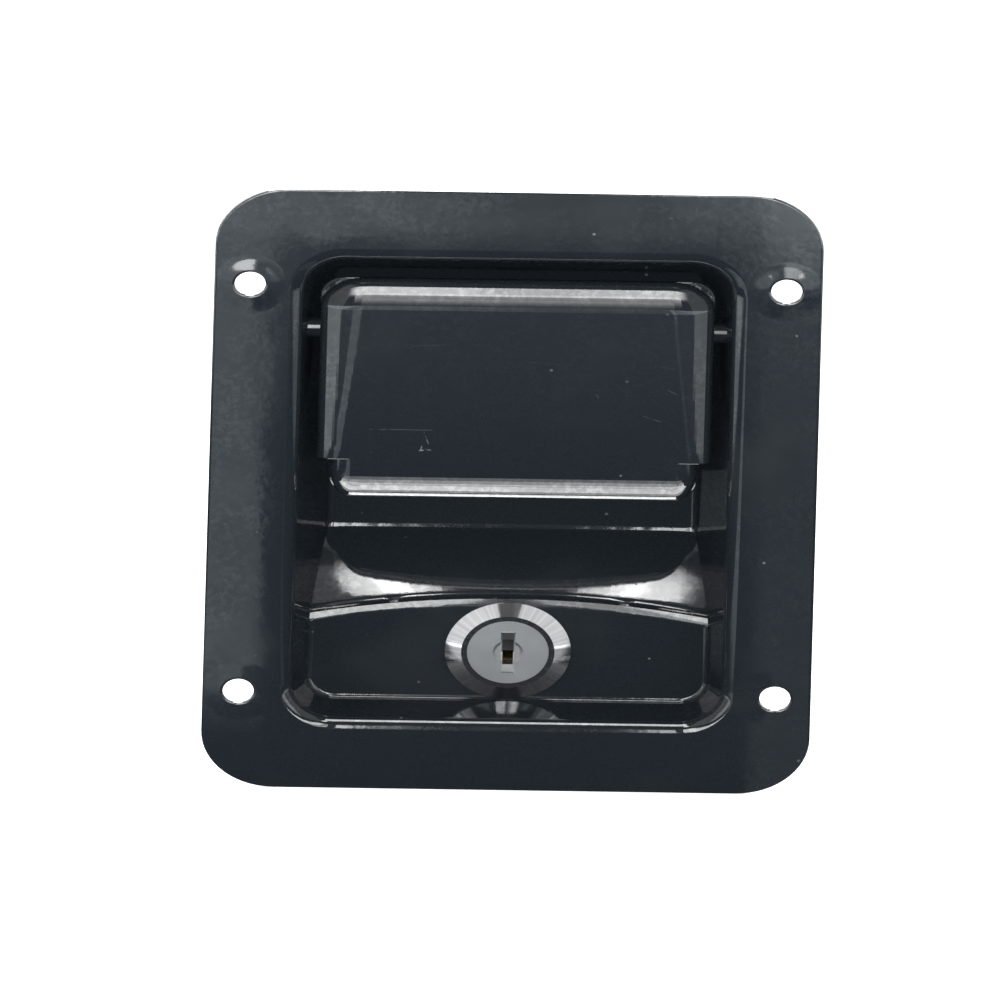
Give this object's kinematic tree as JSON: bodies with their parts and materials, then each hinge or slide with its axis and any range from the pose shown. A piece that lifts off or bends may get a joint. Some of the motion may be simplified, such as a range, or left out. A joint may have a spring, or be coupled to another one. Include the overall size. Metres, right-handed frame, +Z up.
{
  "type": "paddle lock",
  "caption": "Flush-mount paddle lock: dished flanged pan, spring-return paddle on a cross pin, slam bolt behind the pan and a key lock whose cam blocks the bolt.",
  "frame": {"origin": "middle of the four screw holes, on the back face of the flange that lies on the door", "axes": "+X to the right seen from the front, +Y into the door, +Z up; the front faces -Y"},
  "size_m": [0.108, 0.0396, 0.14],
  "materials": {
    "black_paint": "gloss",
    "zinc_plate": "satin",
    "spring_steel": "satin",
    "lock_chrome": "polished",
    "satin_nickel": "satin",
    "wafer_brass": "satin"
  },
  "bodies": {
    "pan_body": {"pan": "black_paint", "hinge_pin": "black_paint", "pin_clips": "spring_steel", "latch_housing": "black_paint", "housing_rivets": "zinc_plate", "bolt_spring": "spring_steel", "spring_guide": "zinc_plate", "paddle_spring_left": "spring_steel", "paddle_spring_right": "spring_steel", "lock_barrel": "lock_chrome", "lock_washer": "zinc_plate", "lock_nut": "zinc_plate"},
    "paddle_body": {"paddle": "black_paint", "paddle_arm": "black_paint"},
    "bolt_body": {"slam_bolt": "zinc_plate", "lock_bar": "zinc_plate", "lock_bar_rivets": "zinc_plate"},
    "plug_body": {"lock_plug": "satin_nickel", "stop_washer": "zinc_plate", "lock_cam": "zinc_plate", "cam_washer": "zinc_plate", "cam_screw": "zinc_plate"},
    "wafer_body": {"lock_wafers": "wafer_brass"}
  },
  "joints": [
    {"name": "paddle_hinge", "type": "hinge", "parent": "pan_body", "child": "paddle_body", "pos_m": [0, 0.0064, 0.0365], "axis": [-1, 0, 0], "range_deg": [0, 34], "stiffness_Nm_per_rad": 0.65, "springref_deg": -25.21, "deforming": ["paddle_spring_left", "paddle_spring_right"]},
    {"name": "bolt_slide", "type": "slide", "parent": "pan_body", "child": "bolt_body", "axis": [0, 0, -1], "range_m": [0, 0.01225], "deforming": ["bolt_spring"]},
    {"name": "lock_turn", "type": "hinge", "parent": "pan_body", "child": "plug_body", "pos_m": [0, 0.03, -0.0394], "axis": [0, 1, 0], "range_deg": [0, 90]},
    {"name": "wafer_lift", "type": "slide", "parent": "plug_body", "child": "wafer_body", "axis": [0, 0, 1], "range_m": [0, 0.0016]}
  ],
  "couplings": [
    {"joint": "bolt_slide", "follows": "paddle_hinge", "m_per_rad": 0.02063}
  ]
}
